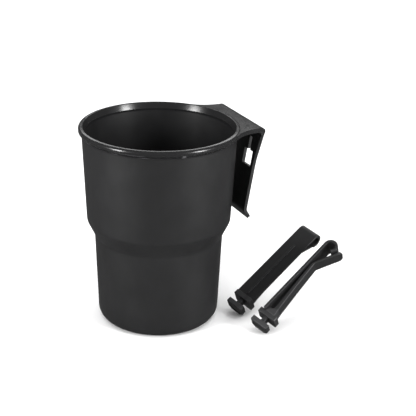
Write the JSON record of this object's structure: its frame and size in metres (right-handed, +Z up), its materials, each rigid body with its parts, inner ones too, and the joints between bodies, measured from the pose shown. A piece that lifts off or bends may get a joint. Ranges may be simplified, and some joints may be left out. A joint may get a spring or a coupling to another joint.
{
  "type": "hang-on cup holder",
  "caption": "Stepped round plastic cup whose rim turns down into a flat hook plate with keyholes, with loose T-headed spring clips that snap onto a slat or panel edge",
  "frame": {"origin": "centre of the cup's base, on the floor plane", "axes": "+Z up along the cup's axis, +X toward the hook plate, +Y across it"},
  "size_m": [0.1512, 0.1034, 0.1186],
  "materials": {
    "cup_plastic": "satin moulded black",
    "clip_plastic": "satin moulded black, slightly softer than the cup"
  },
  "bodies": {
    "cup": {"cup_body": "cup_plastic"},
    "hook": {"hook_plate": "cup_plastic"},
    "across": {"clip_across": "clip_plastic"},
    "across_leg": {"clip_across_spring_leg": "clip_plastic"},
    "upright": {"clip_upright": "clip_plastic"},
    "upright_leg": {"clip_upright_spring_leg": "clip_plastic"}
  },
  "joints": [
    {"name": "hook_flex", "type": "hinge", "parent": "cup", "child": "hook", "pos_m": [0.05427, 0, 0.1128], "axis": [0, -1, 0], "range_deg": [0, 8], "stiffness_Nm_per_rad": 1.6},
    {"name": "clip_across_lift", "type": "slide", "parent": "cup", "child": "across", "axis": [0, 0, 1], "range_m": [0, 0.04]},
    {"name": "clip_across_jaw", "type": "hinge", "parent": "across", "child": "across_leg", "pos_m": [0.05401, -0.02058, 0.00691], "axis": [-0.345, 0.9108, 0.227], "range_deg": [0, 6], "stiffness_Nm_per_rad": 0.6},
    {"name": "clip_upright_lift", "type": "slide", "parent": "cup", "child": "upright", "axis": [0, 0, 1], "range_m": [0, 0.04]},
    {"name": "clip_upright_jaw", "type": "hinge", "parent": "upright", "child": "upright_leg", "pos_m": [0.05566, -0.05073, 0.0106], "axis": [0.3975, 0.3667, -0.8411], "range_deg": [0, 6], "stiffness_Nm_per_rad": 0.6}
  ]
}
